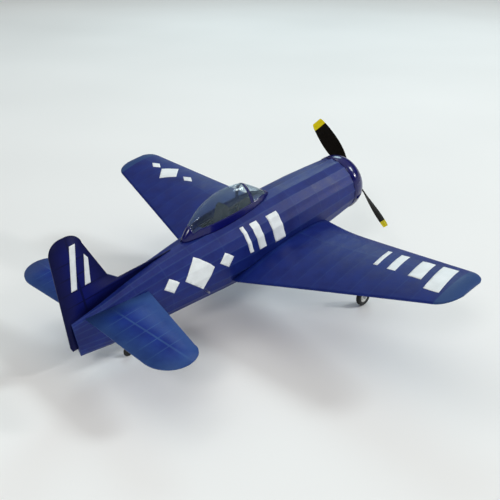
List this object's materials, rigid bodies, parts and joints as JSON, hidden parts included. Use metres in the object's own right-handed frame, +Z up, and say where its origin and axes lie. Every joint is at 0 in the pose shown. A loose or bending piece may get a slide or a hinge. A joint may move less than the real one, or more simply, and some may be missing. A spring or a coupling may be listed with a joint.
{
  "type": "rubber band plane",
  "caption": "Rubber-powered stick-and-tissue model aeroplane with a low wing, bubble canopy, round cowl and fixed tail-dragger landing gear.",
  "frame": {"origin": "middle of the bounding box, on the surface that the three wheels stand on", "axes": "+X to starboard along the span, +Y forward towards the nose, +Z up"},
  "size_m": [0.762, 0.6123, 0.2654],
  "materials": {
    "tissue": "satin doped tissue",
    "balsa": "sanded balsa",
    "plywood": "plain plywood",
    "painted_block": "matt black paint",
    "cowl": "glossy navy",
    "canopy_paint": "glossy navy",
    "clear": "clear moulded plastic",
    "cockpit": "matt black card",
    "prop": "black moulded plastic, yellow tips",
    "nylon": "natural nylon",
    "brass": "plain",
    "wire": "music wire",
    "aluminium": "plain tube",
    "rubber_strip": "tan rubber strip",
    "tyre": "matt black",
    "hub": "white"
  },
  "bodies": {
    "airframe": {"nose_cowl": "cowl", "nose_block": "painted_block", "rubber_motor": "rubber_strip", "peg_plates": "plywood", "fuselage_covering": "tissue", "keel_top": "balsa", "keel_bottom": "balsa", "keels_side": "balsa", "fuselage_stringers": "balsa", "tail_post": "balsa", "former_01": "balsa", "former_02": "balsa", "former_03": "balsa", "former_04": "balsa", "former_05": "balsa", "former_06": "balsa", "former_07": "balsa", "former_08": "balsa", "former_09": "balsa", "former_10": "balsa", "former_11": "balsa", "cockpit_floor": "cockpit", "instrument_panel": "cockpit", "headrest": "cockpit", "windscreen": "clear", "canopy": "clear", "canopy_frame": "canopy_paint", "wing_covering_left": "tissue", "wing_covering_right": "tissue", "wing_ribs_left": "balsa", "wing_ribs_right": "balsa", "wing_spar_left": "balsa", "wing_spar_right": "balsa", "leading_edge_left": "balsa", "leading_edge_right": "balsa", "trailing_edge_left": "balsa", "trailing_edge_right": "balsa", "wing_tip_left": "balsa", "wing_tip_right": "balsa", "stabilizer_frame": "balsa", "stabilizer_covering": "tissue", "fin_frame": "balsa", "fin_covering": "tissue", "gear_leg_left": "wire", "gear_leg_right": "wire", "gear_blocks": "plywood", "wheel_collars": "wire", "tail_gear_wire": "wire"},
    "nose_plug": {"nose_plug": "balsa", "nose_button": "nylon", "thrust_washers": "brass"},
    "prop": {"propeller": "prop", "prop_shaft": "wire"},
    "peg": {"motor_peg": "aluminium"},
    "wheel_left": {"main_tyre_left": "tyre", "main_hub_left": "hub"},
    "wheel_right": {"main_tyre_right": "tyre", "main_hub_right": "hub"},
    "tail_wheel": {"tail_wheel": "tyre"}
  },
  "joints": [
    {"name": "nose_plug_pull", "type": "slide", "parent": "airframe", "child": "nose_plug", "axis": [0, 0.9815, 0.1915], "range_m": [0, 0.03], "deforming": ["rubber_motor"]},
    {"name": "prop_spin", "type": "hinge", "parent": "nose_plug", "child": "prop", "pos_m": [0, 0.28761, 0.176], "axis": [0, 0.9815, 0.1915], "continuous": true, "deforming": ["rubber_motor"]},
    {"name": "motor_peg_pull", "type": "slide", "parent": "airframe", "child": "peg", "axis": [1, 0, 0], "range_m": [0, 0.04], "deforming": ["rubber_motor"]},
    {"name": "wheel_left_spin", "type": "hinge", "parent": "airframe", "child": "wheel_left", "pos_m": [-0.1263, 0.18616, 0.015], "axis": [1, 0, 0], "continuous": true},
    {"name": "wheel_right_spin", "type": "hinge", "parent": "airframe", "child": "wheel_right", "pos_m": [0.1263, 0.18616, 0.015], "axis": [1, 0, 0], "continuous": true},
    {"name": "tail_wheel_spin", "type": "hinge", "parent": "airframe", "child": "tail_wheel", "pos_m": [0, -0.19495, 0.008], "axis": [1, 0, 0], "continuous": true}
  ]
}
